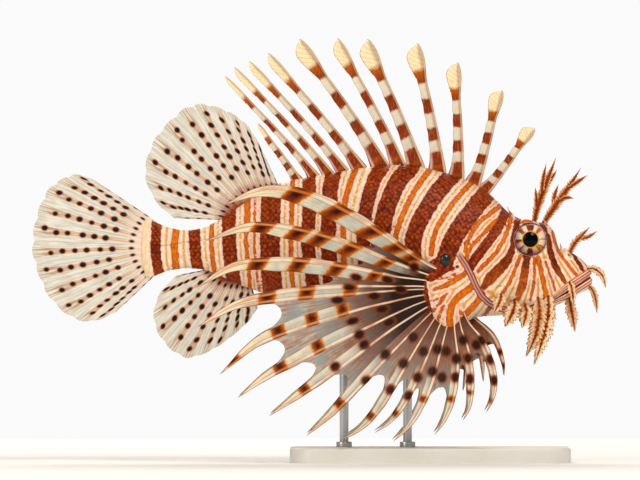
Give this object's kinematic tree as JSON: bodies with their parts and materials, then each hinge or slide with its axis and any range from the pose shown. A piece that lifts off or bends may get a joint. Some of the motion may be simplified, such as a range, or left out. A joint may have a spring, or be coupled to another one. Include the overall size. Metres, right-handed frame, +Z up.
{
  "type": "red lionfish",
  "caption": "Life-size museum model of a red lionfish swimming level with its fins spread, carried by slim rods on a flat base.",
  "frame": {"origin": "middle of the underside of the stand's base, under the middle of the body", "axes": "+X towards the fish's snout, +Y towards its left side, +Z up"},
  "size_m": [0.3074, 0.122, 0.2272],
  "materials": {
    "skin": "fine scaled fish skin, rust-red bands on cream, slightly wet sheen",
    "eye": "clear glossy cornea over a black pupil with a gold ring and a rust and white iris",
    "fin": "thin translucent fin membrane, cream rays with brown-black spots",
    "spine": "banded rust-brown and cream spines with soft skin flags",
    "tentacle": "fringed brown skin flaps with cream edges",
    "plinth": "satin black lacquered board",
    "rod": "brushed steel"
  },
  "bodies": {
    "root": {"head": "skin", "lower_jaw": "skin", "trunk": "skin", "tail_stem": "skin", "eye_right": "eye", "eye_left": "eye", "soft_dorsal_fin": "fin", "anal_fin": "fin", "caudal_fin": "fin", "pectoral_fin_right": "fin", "pectoral_fin_left": "fin", "pelvic_fin_right": "fin", "pelvic_fin_left": "fin", "spiny_dorsal_fin": "spine", "brow_tentacle_right": "tentacle", "brow_tentacle_left": "tentacle", "nasal_tentacle_right": "tentacle", "nasal_tentacle_left": "tentacle", "cheek_barbel_front_right": "tentacle", "cheek_barbel_front_left": "tentacle", "cheek_barbel_rear_right": "tentacle", "cheek_barbel_rear_left": "tentacle", "stand_base": "plinth", "stand_rod_rear": "rod", "stand_rod_front": "rod"}
  },
  "joints": []
}
